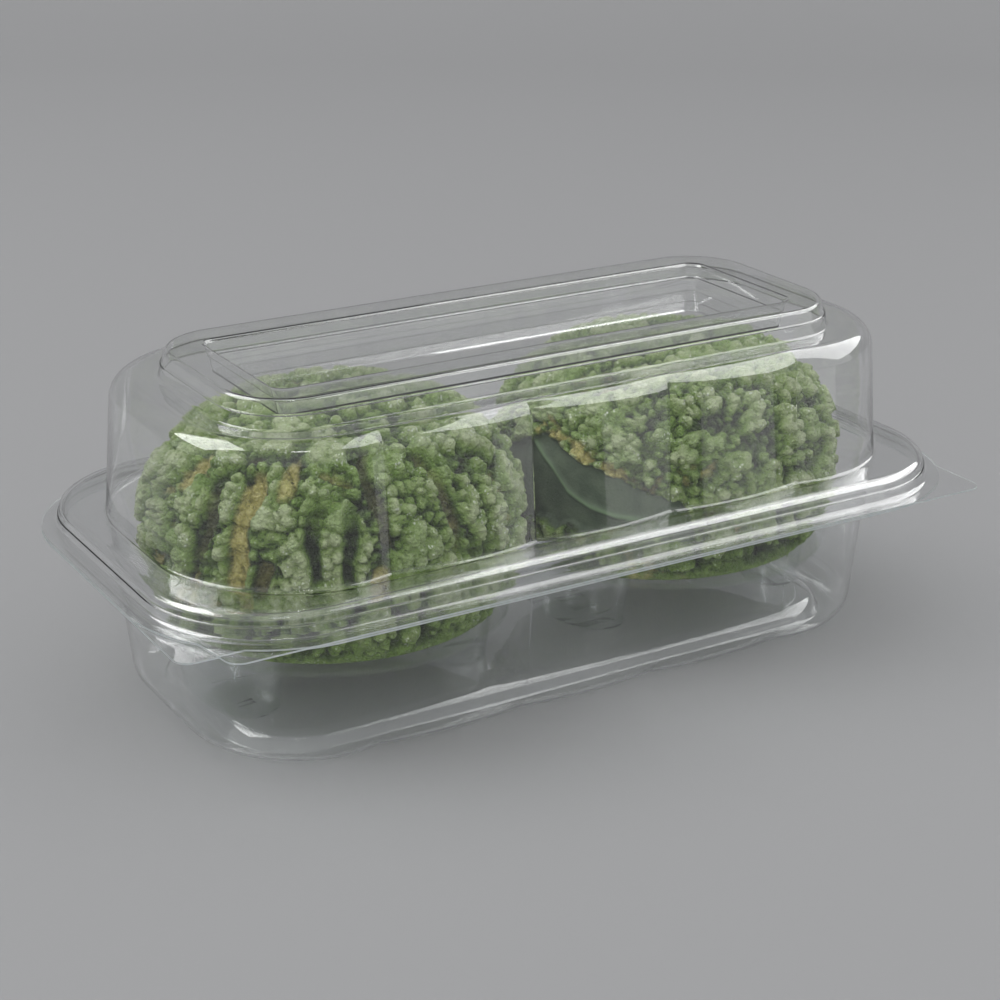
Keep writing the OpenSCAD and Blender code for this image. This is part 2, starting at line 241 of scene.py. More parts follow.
def quarter(o, reach=None, side=None):
    """From the last front crease round the front right corner to the middle of the right end.

    reach ends a tab that runs along the front at x = reach, side one along the end at y = -side."""
    l, w, r, d = o[:4]
    near = np.array(PANEL_STATIONS[:4]) * PANEL_W
    rest = np.linspace(CREASE_X + near[-1], l - r, FLANK_STEPS + 1)[1:-1]
    flank_x = np.concatenate([CREASE_X + near, rest])
    flank = np.stack([flank_x, -w + drawn_in(flank_x - CREASE_X, d)], 1)
    cx, cy = l - r, -(w - r)
    a = np.radians(np.linspace(-90, 0, CORNER_STEPS + 1))
    if reach is not None:
        corner = tab_corner(o, a, reach, -w)
    elif side is not None:
        corner = tab_corner(o, a, l, -side)
    else:
        s = cx - CREASE_X + r * (a + math.pi / 2)
        rr = r - drawn_in(s, d)
        corner = np.stack([cx + rr * np.cos(a), cy + rr * np.sin(a)], 1)
    low = corner[-1][1]
    end = np.stack([np.full(END_STEPS, l), np.linspace(low, 0, END_STEPS + 1)[1:]], 1)
    return np.concatenate([flank, corner, end])


def ring(o, right=None, left=None, left_side=None):
    """A whole outline from its front left crease round; right and left are tab reaches."""
    front = panel_points(o)
    plain = quarter(o)
    front_right = quarter(o, reach=right)
    front_left = quarter(o, reach=left, side=left_side)
    flip_x, flip_y = np.array([-1, 1]), np.array([1, -1])
    return np.concatenate([
        front, front_right[1:],
        (plain * flip_y)[::-1][1:], (front * flip_y)[::-1][1:],
        (plain * flip_x * flip_y)[1:],
        (front_left * flip_x)[::-1][1:-1]])


def rounded(section, cuts, steps=4):
    """Rounds each bend of a section by a curve that starts and ends a cut's length away from it."""
    out = []
    last = len(section) - 1
    for i, (o, cut) in enumerate(zip(section, cuts)):
        if cut <= 0 or i in (0, last):
            out.append(o)
            continue
        before, after = section[i - 1], section[i + 1]
        reach = [math.hypot(q[0] - o[0], q[4] - o[4]) for q in (before, after)]
        a = o + (before - o) * min(cut, 0.45 * reach[0]) / reach[0]
        b = o + (after - o) * min(cut, 0.45 * reach[1]) / reach[1]
        for k in range(steps + 1):
            t = k / steps
            out.append(a * (1 - t) ** 2 + o * 2 * t * (1 - t) + b * t ** 2)
    return out


def other_face(section, t):
    """The outlines of the sheet's other face, t away."""
    out = []
    for i, o in enumerate(section):
        here = np.array([o[0], o[4]])
        if i:
            before = np.array([section[i - 1][0], section[i - 1][4]])
        else:
            before = 2 * here - np.array([section[1][0], section[1][4]])
        if i < len(section) - 1:
            after = np.array([section[i + 1][0], section[i + 1][4]])
        else:
            after = np.array([0, here[1]])
        u, v = here - before, after - here
        n1 = np.array([-u[1], u[0]]) / max(np.hypot(*u), 1e-6)
        n2 = np.array([-v[1], v[0]]) / max(np.hypot(*v), 1e-6)
        n = (n1 + n2) / (1 + n1 @ n2) * t
        out.append(flat(o[0] + n[0], o[1] + n[0], max(o[2] + n[0], 0.3), o[3], o[4] + n[1]))
    return out


def shoulder(o, r, steps, up, hold):
    """Outlines of a rounded shoulder above (up 1) or below (up -1) a wall; creases die away over it.

    With hold under 1 the creases last longer."""
    out = []
    for k in range(1, steps + 1):
        a = math.radians(90 * k / steps)
        q = inward(o, r * (1 - math.cos(a)), r * (1 - math.cos(a)), o[4] + up * r * math.sin(a))
        out.append(creased(q, o[3] * max(math.cos(a), 0) ** hold))
    return out


def cove(o, out, rise):
    """Outlines of a hollow bend from the ledge up to the face that stands on it at outline o."""
    turns = [math.radians(90 * k / COVE_STEPS) for k in range(COVE_STEPS + 1)]
    moves = [(-out * (1 - math.sin(a)), rise * (1 - math.cos(a))) for a in turns]
    return [inward(o, d, d, o[4] + up) for d, up in moves]


def rim_outlines():
    """The lid's outer face from the flange edge to the foot of its wall."""
    flange = flat(PACK_L / 2, PACK_W / 2, FLANGE_R, 0, FLANGE_TOP)
    skirt_foot = inward(flange, LEDGE_W, LEDGE_W, FLANGE_TOP)
    skirt_top = inward(skirt_foot, 0, 0, STEP_Z)
    rim_side = inward(skirt_foot, RIM_STEP, RIM_STEP, STEP_Z + STEP_RISE)
    rim_edge = inward(rim_side, RIM_DRAFT / 2, RIM_DRAFT / 2, SHELF_Z - SHELF_EDGE)
    shelf_outer = inward(rim_edge, SHELF_EDGE, SHELF_EDGE, SHELF_Z)
    wall_foot = flat(WALL_FOOT_L, WALL_FOOT_W, WALL_R, CREASE_D, SHELF_Z)
    return flange, skirt_foot, skirt_top, rim_side, rim_edge, shelf_outer, wall_foot


def lid_section():
    """The lid's outer face from the flange edge to its recess, with the cut of each bend's rounding."""
    flange, skirt_foot, skirt_top, rim_side, rim_edge, shelf_outer, wall_foot = rim_outlines()
    wall_top = inward(wall_foot, LID_DRAFT, LID_DRAFT, SHELF_Z + LID_WALL_H)
    outer = framed(FRAME_L, FRAME_W, FRAME_R, FRAME_Z)
    recess = flat(FRAME_L / 2 - FRAME_BAND_X, FRAME_W / 2 - FRAME_BAND_Y, RECESS_R, 0, FRAME_Z)
    d, s, lip = FRAME_DRAFT, FRAME_STEP, FRAME_LIP
    mid_z = FRAME_FOOT_Z + FRAME_H / 2
    low_z = FRAME_Z - RECESS_H / 2
    soft_edge = inward(rim_edge, 0, 0, rim_edge[4] - SOFT_EDGE_DOWN)
    soft_shelf = inward(shelf_outer, SOFT_EDGE_IN, SOFT_EDGE_IN, SHELF_Z)
    rows = [(flange, 0)]
    rows += [(o, 0) for o in cove(skirt_foot, COVE_OUT, COVE_RISE)]
    rows += [
        (skirt_top, 0.3), (rim_side, 0.3), (soft_edge, 0.6),
        (soft_shelf, 0.9), (wall_foot, 1.0), (wall_top, 0)]
    rows += [(o, 0) for o in shoulder(wall_top, SHOULDER_R, LID_SHOULDER_STEPS, 1, LID_CREASE_HOLD)]
    rows += [
        (inward(outer, -d - s, -d - s, FRAME_FOOT_Z), 0.9),
        (inward(outer, -d / 2 - s, -d / 2 - s, mid_z), 0.25),
        (inward(outer, -d / 2, -d / 2, mid_z + STEP_RISE), 0.25),
        (inward(outer, 0, 0, FRAME_Z - lip), 0.5),
        (inward(outer, lip, lip, FRAME_Z), 0.5),
        (inward(recess, -lip, -lip, FRAME_Z), 0.45),
        (inward(recess, 0, 0, FRAME_Z - lip), 0.45),
        (inward(recess, d / 2, d / 2, low_z + STEP_RISE), 0.25),
        (inward(recess, d / 2 + s, d / 2 + s, low_z), 0.25),
        (inward(recess, d + s, d + s, RECESS_Z), 0)]
    return rounded([r[0] for r in rows], [r[1] for r in rows])


def base_section():
    """The base's outer face from the flange edge to its raised floor."""
    flange, skirt_foot, *_, wall_foot = rim_outlines()
    z = PARTING_Z - FLANGE_GAP / 2 - SHEET
    step = SHEET + SNAP_GAP + SHEET + RIM_STEP
    bead_foot = inward(skirt_foot, step, step, z)
    bead_edge = inward(bead_foot, RIM_DRAFT, RIM_DRAFT, BEAD_Z - SHELF_EDGE - SHEET)
    bead_outer = inward(bead_edge, SHELF_EDGE, SHELF_EDGE, BEAD_Z - SHEET)
    bead_inner = creased(inward(wall_foot, WALL_GAP, WALL_GAP, BEAD_Z - SHEET), 0)
    wall_top = creased(inward(bead_inner, BEAD_LEAN, BEAD_LEAN, z - SHEET), CREASE_D)
    low_wall = inward(wall_top, BASE_DRAFT_X, BASE_DRAFT_Y, BASE_FILLET)
    floor = framed(FLOOR_L, FLOOR_W, FLOOR_R, FLOOR_H)
    rows = [
        (flat(PACK_L / 2, PACK_W / 2, FLANGE_R, 0, z), 0), (bead_foot, 0.6), (bead_edge, 0.5),
        (bead_outer, 0.5), (bead_inner, 0.6), (wall_top, 0.6), (low_wall, 0)]
    rows += [(o, 0) for o in shoulder(low_wall, BASE_FILLET, BASE_SHOULDER_STEPS, -1, CREASE_HOLD)]
    rows += [(inward(floor, -FLOOR_SLOPE, -FLOOR_SLOPE, 0), FLOOR_FOOT_CUT), (floor, FLOOR_EDGE_CUT)]
    rows += [(inward(floor, FLOOR_BORDER, FLOOR_BORDER, FLOOR_H), 0)]
    return rounded([r[0] for r in rows], [r[1] for r in rows])


def rings_of(section, tabs):
    """The rings of a face; its first outline has the tabs."""
    out = []
    for i, o in enumerate(section):
        q = ring(o, **tabs) if i == 0 else ring(o)
        out.append(np.column_stack([q, np.full(len(q), o[4])]))
    middle = out[-1]
    for k in range(1, MIDDLE_STEPS):
        share = 1 - k / MIDDLE_STEPS
        out.append(middle * [share, share, 1])
    return np.array(out)


def mesh_object(name, points, faces, sharp=None):
    """A smooth mesh object from points in millimetres; edges over sharp degrees stay sharp."""
    me = bpy.data.meshes.new(name)
    me.from_pydata([tuple(p) for p in np.asarray(points, float) * MM], [], faces)
    me.validate()
    ob = bpy.data.objects.new(name, me)
    bpy.context.scene.collection.objects.link(ob)
    me.shade_smooth()
    if sharp is not None:
        me.set_sharp_from_angle(angle=math.radians(sharp))
    return ob


def sheet_object(name, upper, lower):
    """A closed clear sheet between two faces, each an array of rings from the edge to the middle."""
    k, n, _ = upper.shape
    m = n * k
    points = np.concatenate([
        upper.reshape(-1, 3), lower.reshape(-1, 3),
        [[0, 0, upper[-1][0][2]], [0, 0, lower[-1][0][2]]]])
    faces = []
    for i in range(k - 1):
        for j in range(n):
            a, b = i * n + j, i * n + (j + 1) % n
            faces.append((a, b, b + n, a + n))
            faces.append((m + a, m + a + n, m + b + n, m + b))
    for j in range(n):
        b = (j + 1) % n
        faces.append((b, j, m + j, m + b))
        faces.append((m - n + j, m - n + b, 2 * m))
        faces.append((m + m - n + b, m + m - n + j, 2 * m + 1))
    ob = mesh_object(name, points, faces, sharp=50)
    # The cut edge's faces take the second material
    for p in ob.data.polygons:
        if all(v < n or m <= v < m + n for v in p.vertices):
            p.material_index = 1
    return ob


def make_lid():
    """The lid's clear sheet with its two front tabs."""
    s = lid_section()
    t = other_face(s, SHEET)
    tabs = {"right": LID_TAB_RIGHT, "left": LID_TAB_LEFT}
    ob = sheet_object("clear_lid", rings_of(s, tabs), rings_of(t, tabs))
    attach(ob, "lid")
    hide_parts("lid")
    return ob


def make_base():
    """The base's clear sheet with its tab at the left end."""
    s = base_section()
    t = other_face(s, -SHEET)
    tabs = {"left_side": BASE_TAB}
    ob = sheet_object("clear_base", rings_of(t, tabs), rings_of(s, tabs))
    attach(ob, "base")
    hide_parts("base_tray")
    return ob


def hashed(c, seed):
    """A whole number for each cell c of a grid, spread as if at random."""
    h = (c[:, 0] * 73856093) ^ (c[:, 1] * 19349663) ^ (c[:, 2] * 83492791) ^ (seed * 40503 + 977)
    for _ in range(2):
        h = h & 0xFFFFFFFF
        h = (h ^ (h >> 16)) * 0x45D9F3B
    h = h & 0xFFFFFFFF
    return h ^ (h >> 16)


def cells(p, seed):
    """Distances to the nearest and the next seed of a cell pattern, and the nearest's number and place."""
    base = np.floor(p).astype(np.int64)
    near, after, number, seat = np.full(len(p), 9.0), np.full(len(p), 9.0), np.zeros(len(p)), p.copy()
    for shift in np.ndindex(3, 3, 3):
        c = base + np.array(shift) - 1
        h = hashed(c, seed)
        place = c + np.stack([h & 1023, (h >> 10) & 1023, (h >> 20) & 1023], 1) / 1023
        far = np.linalg.norm(place - p, axis=1)
        closer = far < near
        after = np.where(closer, near, np.minimum(after, far))
        number = np.where(closer, ((h >> 5) & 1023) / 1023, number)
        seat = np.where(closer[:, None], place, seat)
        near = np.where(closer, far, near)
    return near, after, number, seat


def waves(p, seed):
    """Smooth noise between -1 and 1, with one wave to each unit."""
    base = np.floor(p).astype(np.int64)
    f = p - base
    f = f * f * (3 - 2 * f)
    total = np.zeros(len(p))
    for shift in np.ndindex(2, 2, 2):
        weight = np.prod(np.where(np.array(shift) == 1, f, 1 - f), axis=1)
        total += weight * (hashed(base + np.array(shift), seed) & 1023) / 1023
    return total * 2 - 1


def layered(p, seed):
    """Smooth noise of three waves, each half as long and half as strong as the one before."""
    return sum(waves(p * 2 ** k, seed + k) * 0.5 ** k for k in range(3))


def wandered(p, seed, size, reach):
    """Points moved by smooth noise of a wave size, at most about reach away."""
    return p + reach * np.stack([waves(p / size, seed + k) for k in range(3)], 1)


def step(x, low, high):
    """0 below low, 1 above high and smooth between them."""
    t = np.clip((x - low) / (high - low), 0, 1)
    return t * t * (3 - 2 * t)


def ball_grid(n):
    """Directions over a ball from a cube's faces, n squares along each edge, and the squares."""
    i, j = [g.ravel() for g in np.meshgrid(range(n + 1), range(n + 1), indexing="ij")]
    spots = []
    for axis in range(3):
        for side in (0, n):
            c = np.zeros((len(i), 3), int)
            c[:, axis] = side
            c[:, (axis + 1) % 3] = i
            c[:, (axis + 2) % 3] = j
            spots.append(c)
    spots, index = np.unique(np.concatenate(spots), axis=0, return_inverse=True)
    index = index.reshape(6, n + 1, n + 1)
    faces = []
    for f in range(6):
        g = index[f]
        quads = np.stack([g[:-1, :-1], g[1:, :-1], g[1:, 1:], g[:-1, 1:]], -1).reshape(-1, 4)
        faces.append(quads if f % 2 else quads[:, ::-1])
    d = np.tan((spots / n * 2 - 1) * math.pi / 4)
    return d / np.linalg.norm(d, axis=1)[:, None], np.concatenate(faces)


def smooth_bun(d):
    """Points of the smooth bun along directions d, from the middle of its underside."""
    e = np.degrees(np.arcsin(np.clip(d[:, 2], -1, 1)))
    up = np.radians(np.clip(e, 0, 90))
    down = np.radians(90 * np.clip(-e / UNDER_EDGE, 0, 1))
    side = np.hypot(d[:, 0], d[:, 1])
    across = d[:, :2] / np.maximum(side, 1e-9)[:, None]
    crown = BUN_HALF_W * np.maximum(np.cos(up), 0) ** CROWN_ACROSS
    skirt = BUN_HALF_W - BUN_TUCK * (1 - np.cos(down))
    under = np.clip((90 + e) / (90 - UNDER_EDGE), 0, 1)
    r = np.where(e >= 0, crown, skirt * np.where(e < -UNDER_EDGE, under, 1))
    above = BUN_WAIST + (BUN_H - BUN_WAIST) * np.sin(up) ** CROWN_UP
    z = np.where(e >= 0, above, BUN_WAIST * (1 - np.sin(down)))
    k = r / BUN_HALF_W
    return np.column_stack([across[:, 0] * k * BUN_HALF_L, across[:, 1] * k * BUN_HALF_W, z])


def point_normals(p, faces):
    """Outward directions at the points p of a mesh of four-sided faces."""
    a, b, c, d = (p[faces[:, k]] for k in range(4))
    n = np.cross(c - a, d - b)
    total = np.zeros_like(p)
    for k in range(4):
        np.add.at(total, faces[:, k], n)
    return total / np.maximum(np.linalg.norm(total, axis=1), 1e-9)[:, None]


def groove(p, seed, azimuth, low, high, half, lean=0.0, sway=2.2):
    """How deep in a groove a point is: one that runs down the side between two heights."""
    a = np.degrees(np.arctan2(p[:, 1], p[:, 0]))
    place = azimuth + lean * (p[:, 2] - (low + high) / 2)
    off = (a - place + 180) % 360 - 180
    far = np.abs(np.radians(off) * np.hypot(p[:, 0], p[:, 1]) + sway * waves(p / 9, seed))
    ends = step(p[:, 2], low - 3, low + 3) * (1 - step(p[:, 2], high - 3, high + 3))
    wide = half * (1 + 0.35 * waves(p / 6, seed + 5))
    return (1 - step(far, wide * 0.35, wide * 1.25)) * ends


def plate_gaps(p, seed, plate, gap, tall):
    """How deep in a gap between the crust's plates each point is, from 0 to 1, and its plate's number."""
    q = wandered(p, seed, 11, 2.8)
    near, after, number, _ = cells(q * np.array([1, 1, tall]) / plate, seed + 7)
    crack = 1 - step((after - near) * plate, 0.2, gap)
    return crack * (0.45 + 0.55 * step(layered(p / 13, seed + 11) + 0.5, 0, 0.5)), number


def crust_fields(p, seed, plate, gap, tall):
    """At points p: how deep in a gap between plates they are, from 0 to 1, and how far the skin is drawn in.

    A knob of the crust goes with the plate that its middle lies on, so plates have scalloped edges."""
    q = wandered(p, seed + 17, 3, 0.6)
    knob_near, knob_after, knob_number, seat = cells(q / KNOB, seed + 19)
    crack, number = plate_gaps(p, seed, plate, gap, tall)
    seat_crack, seat_number = plate_gaps(p + seat * KNOB - q, seed, plate, gap, tall)
    crack = 0.35 * crack + 0.65 * seat_crack
    lump_near, lump_after = cells(wandered(p, seed + 12, 5, 1.2) / LUMP, seed + 13)[:2]
    lump = 1 - step((lump_after - lump_near) * LUMP, 0, 1.8)
    knob = np.clip(1 - (knob_near / 0.8) ** 2, 0, 1)
    pit = 1 - step((knob_after - knob_near) * KNOB, 0, 0.8)
    pit = pit * step(layered(p / 5, seed + 21), -0.5, 0.3)
    grain_near = cells(p / GRAIN, seed + 23)[0]
    grain = np.clip(1 - (grain_near / 0.9) ** 2, 0, 1)
    plates = 3.1 * crack + 0.7 * seat_number + 0.5 * knob_number
    drawn = plates + 0.6 * lump + 1.25 * (1 - knob) + 1.2 * pit + 0.5 * (1 - grain)
    return crack, np.maximum(drawn - 1.3, 0)


def make_bun(name, node_name, x, crust, carve):
    """A crackled bun; carve takes its points and fields and adds what is its own."""
    seed, plate, gap, tall = crust
    d, faces = ball_grid(BUN_SQUARES)
    p = smooth_bun(d)
    n = point_normals(p, faces)
    crack, drawn = crust_fields(p, seed, plate, gap, tall)
    dough, bare = np.zeros(len(p)), np.zeros(len(p))
    crack, drawn, dough, bare = carve(p, crack, drawn, dough, bare)
    flat_part = 1 - step(p[:, 2], 0.2, 3)
    drawn = drawn * (1 - flat_part)
    # Colour field: high on raised crust, low in the gaps and towards the bun's foot; those low values are
    # painted shade
    lift_and_painted_shade = np.clip(1 - drawn / 4.4 - 0.12 * crack, 0, 1) * (0.55 + 0.45 * step(p[:, 2], 2, 18))
    split = 0.6 * step(crack, 0.75, 1) * step(layered(p / 15, seed + 31), 0.3, 0.6)
    dough = np.maximum(dough, split)
    points = p - n * drawn[:, None]
    points[:, 0] += x
    points[:, 2] = np.maximum(points[:, 2], 0) + TRAY_TOP
    ob = mesh_object(name, points, faces.tolist())
    for key, values in (("lift_and_painted_shade", lift_and_painted_shade), ("dough", dough), ("bare", bare)):
        field = ob.data.attributes.new(key, "FLOAT", "POINT")
        field.data.foreach_set("value", values.astype(np.float32))
    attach(ob, "base")
    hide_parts(node_name)
    return ob


# Grooves down the left bun's side: azimuth, lowest and highest place, half width, lean, depth and dough
LEFT_GROOVES = (
    (-159, 26, 46, 2.6, 0.1, 2.6, 0.1), (-146, 20, 50, 3.0, 0.05, 3.6, 1.0),
    (-138, 18, 29, 3.2, 0.0, 4.4, 0.3), (-123, 24, 43, 2.1, 0.0, 3.6, 0.0),
    (-111, 22, 44, 2.0, 0.05, 3.4, 0.0), (-101, 32, 54, 2.0, -0.15, 3.2, 0.1),
    (-104, 18, 27, 2.6, 0.0, 3.0, 0.9), (-76, 26, 52, 2.1, -0.1, 3.0, 0.15),
    (-50, 24, 42, 2.2, 0.1, 3.2, 0.5), (-134, 44, 53, 2.4, 0.3, 2.2, 0.8),
    (-172, 42, 51, 2.6, 0.3, 2.4, 0.8), (-30, 20, 46, 2.2, 0.1, 3.0, 0.2),
    (-5, 22, 48, 2.4, 0.0, 3.2, 0.6), (22, 20, 50, 2.3, 0.1, 3.4, 0.0),
    (48, 24, 50, 2.2, -0.1, 3.2, 0.4), (71, 22, 46, 2.6, 0.0, 3.6, 0.9),
    (96, 20, 52, 2.1, 0.1, 3.2, 0.0), (121, 24, 48, 2.3, 0.0, 3.4, 0.5),
    (150, 22, 50, 2.4, -0.1, 3.2, 0.1))


def carve_left(p, crack, drawn, dough, bare):
    """Adds the left bun's grooves to its fields."""
    for k, (azimuth, low, high, half, lean, depth, tan) in enumerate(LEFT_GROOVES):
        g = groove(p, 300 + 9 * k, azimuth, low, high, half, lean)
        drawn = drawn * (1 - 0.45 * g) + depth * g
        crack = np.maximum(crack, g)
        dough = np.maximum(dough, tan * step(g, 0.35, 0.9))
    return crack, drawn, dough, bare


# Upper edge of the bare patch on the right bun's side, as azimuths and heights, and the fold below it
BARE_AZIMUTH = (-215, -190, -168, -163, -157, -152, -145, -139, -132, -124, -119, -115, -112)
BARE_HEIGHT = (8, 30, 40.4, 38.9, 36.6, 35.2, 33.3, 31.2, 27.6, 25.4, 25.0, 20, 8)
FOLD_AZIMUTH = (-175, -163, -160, -157, -149, -140, -130)
FOLD_HEIGHT = (38, 30.8, 27.6, 24.6, 20.9, 19.1, 18.4)


def carve_right(p, crack, drawn, dough, bare):
    """Adds the right bun's bare patch, the fold in it and the pale dough along its upper edge."""
    a = np.degrees(np.arctan2(p[:, 1], p[:, 0]))
    a = np.where(a > 120, a - 360, a)
    edge = np.interp(a, BARE_AZIMUTH, BARE_HEIGHT, left=0, right=0)
    edge = edge + 1.1 * layered(p / 4, 71) * (edge > 0)
    inside = step(edge - p[:, 2], -0.5, 0.5) * (edge > 0)
    inside = inside * step(p[:, 2] + 2.0 * layered(p / 5, 77), 12, 13.2)
    shy = (1 - step(np.abs(p[:, 2] - edge - 1.6), 0.6, 2.4)) * (a > -172) * (a < -136)
    cream = shy * step(layered(p / 3, 83) + 0.55, 0.15, 0.5)
    fold_z = np.interp(a, FOLD_AZIMUTH, FOLD_HEIGHT, left=0, right=0)
    fold = np.exp(-((p[:, 2] - fold_z) / 1.1) ** 2) * (fold_z > 0)
    below = step(fold_z - p[:, 2], 0, 1.6) * (fold_z > 0)
    smooth_part = 4.3 + 0.35 * layered(p / 8, 91) - 0.9 * fold + 1.0 * below
    drawn = drawn * (1 - inside) + smooth_part * inside + 0.9 * cream * (1 - inside)
    crack = crack * (1 - inside)
    dough = np.maximum(dough * (1 - inside), cream * (1 - inside))
    bare = inside * (1 + fold)
    return crack, drawn, dough, bare


class Graph:
    """Short ways to make the nodes of one material."""

    def __init__(self, name):
        self.material = bpy.data.materials.new(name)
        self.material.use_nodes = True
        self.tree = self.material.node_tree
        self.tree.nodes.clear()
        self.out = self.tree.nodes.new("ShaderNodeOutputMaterial")
        self.object_space = self.tree.nodes.new("ShaderNodeTexCoord").outputs["Object"]

    def put(self, value, socket):
        """Links or writes a value to a socket; None leaves it as it is."""
        if isinstance(value, bpy.types.NodeSocket):
            self.tree.links.new(value, socket)
        elif value is not None:
            socket.default_value = value

    def make(self, kind, settings=None, **inputs):
        """A node with its settings and inputs; an underscore in an input's name is a space."""
        n = self.tree.nodes.new(kind)
        for key, value in (settings or {}).items():
            setattr(n, key, value)
        for key, value in inputs.items():
            self.put(value, n.inputs[key.replace("_", " ")])
        return n

    def math(self, operation, a, b=0.0, clamp=False):
        """A sum, product or the like of two values."""
        n = self.tree.nodes.new("ShaderNodeMath")
        n.operation = operation
        n.use_clamp = clamp
        self.put(a, n.inputs[0])
        self.put(b, n.inputs[1])
        return n.outputs[0]

    def attribute(self, name):
        """A number stored on the mesh's points."""
        return self.make("ShaderNodeAttribute", {"attribute_name": name}).outputs["Fac"]

    def noise(self, scale, detail=2.0, roughness=0.5):
        """Smooth noise with scale waves to a metre."""
        n = self.make("ShaderNodeTexNoise", Scale=scale, Detail=detail, Roughness=roughness)
        self.put(self.object_space, n.inputs["Vector"])
        return n.outputs["Fac"]

    def cell(self, scale, output="Distance"):
        """A cell pattern with scale cells to a metre."""
        n = self.make("ShaderNodeTexVoronoi", Scale=scale)
        self.put(self.object_space, n.inputs["Vector"])
        return n.outputs[output]

    def ramp(self, fac, stops):
        """Colours by fac; stops are pairs of a place and a colour."""
        n = self.tree.nodes.new("ShaderNodeValToRGB")
        while len(n.color_ramp.elements) < len(stops):
            n.color_ramp.elements.new(0.5)
        for e, (place, colour) in zip(n.color_ramp.elements, stops):
            e.position = place
            e.color = (*colour, 1)
        self.put(fac, n.inputs["Fac"])
        return n.outputs["Color"]

    def span(self, value, low, high):
        """0 below low, 1 above high and smooth between them."""
        n = self.tree.nodes.new("ShaderNodeMapRange")
        n.interpolation_type = "SMOOTHSTEP"
        self.put(value, n.inputs["Value"])
        n.inputs["From Min"].default_value = low
        n.inputs["From Max"].default_value = high
        return n.outputs["Result"]

    def mix(self, fac, a, b):
        """Colour a, with b in its place by fac."""
        n = self.tree.nodes.new("ShaderNodeMix")
        n.data_type = "RGBA"
        self.put(fac, n.inputs["Factor"])
        for value, socket in ((a, n.inputs[6]), (b, n.inputs[7])):
            self.put((*value, 1) if isinstance(value, tuple) else value, socket)
        return n.outputs[2]

    def bump(self, height, distance):
        """Normals of a surface that rises by height times distance."""
        n = self.make("ShaderNodeBump", Strength=1.0, Distance=distance, Height=height)
        return n.outputs["Normal"]

    def unlit_paths(self):
        """1 for rays that measure shadow or soft light, and 0 for the rest."""
        path = self.make("ShaderNodeLightPath")
        return self.math("MAXIMUM", path.outputs["Is Shadow Ray"], path.outputs["Is Diffuse Ray"])

    def blend(self, fac, a, b):
        """Shader a, with b in its place by fac."""
        n = self.tree.nodes.new("ShaderNodeMixShader")
        self.put(fac, n.inputs["Fac"])
        self.tree.links.new(a, n.inputs[1])
        self.tree.links.new(b, n.inputs[2])
        return n.outputs["Shader"]

    def finish(self, shader):
        """Makes a shader the material's surface and gives the material."""
        self.tree.links.new(shader, self.out.inputs["Surface"])
        return self.material


def clear_material(name, tint, roughness, wave, wave_scale):
    """Clear sheet: glass with a faint wave in its faces, which lets lamps and soft light straight through."""
    g = Graph(name)
    normal = g.bump(g.noise(wave_scale, 1.0), wave)
    glass = g.make("ShaderNodeBsdfPrincipled", Base_Color=(*tint, 1), Roughness=roughness, IOR=SHEET_IOR,
                   Transmission_Weight=1.0, Normal=normal)
    clear = g.make("ShaderNodeBsdfTransparent", Color=(*TRAY_TINT, 1))
    return g.finish(g.blend(g.unlit_paths(), glass.outputs["BSDF"], clear.outputs["BSDF"]))


def thin_material(name, tint, roughness, wave, wave_scale):
    """Clear thin plate: each face lets most light through and mirrors more of it the flatter it comes in."""
    g = Graph(name)
    normal = g.bump(g.noise(wave_scale, 1.0), wave)
    facing = g.make("ShaderNodeLayerWeight", Blend=0.5, Normal=normal).outputs["Facing"]
    grazing = g.math("MULTIPLY", g.math("POWER", facing, 5.0), 1 - FACE_MIRROR)
    mirrored = g.math("ADD", grazing, FACE_MIRROR, True)
    mirrored = g.math("MULTIPLY", mirrored, g.math("SUBTRACT", 1.0, g.unlit_paths()))
    clear = g.make("ShaderNodeBsdfTransparent", Color=(*tint, 1)).outputs["BSDF"]
    gloss = g.make("ShaderNodeBsdfGlossy", Color=(1, 1, 1, 1), Roughness=roughness, Normal=normal)
    return g.finish(g.blend(mirrored, clear, gloss.outputs["BSDF"]))


def cut_edge_material(name):
    """The sheet's cut edge, which gathers light and looks paler than its faces."""
    g = Graph(name)
    glow = g.ramp(g.noise(900.0, 1.0), [(0.3, (0.76, 0.84, 0.86)), (0.7, (0.92, 0.96, 0.97))])
    milk = g.make("ShaderNodeBsdfTranslucent", Color=glow).outputs["BSDF"]
    face = g.make("ShaderNodeBsdfDiffuse", Color=glow).outputs["BSDF"]
    clear = g.make("ShaderNodeBsdfTransparent", Color=(0.96, 0.98, 0.98, 1)).outputs["BSDF"]
    gloss = g.make("ShaderNodeBsdfGlossy", Color=(1, 1, 1, 1), Roughness=0.15).outputs["BSDF"]
    body = g.blend(0.3, g.blend(0.5, milk, face), clear)
    return g.finish(g.blend(0.12, body, gloss))


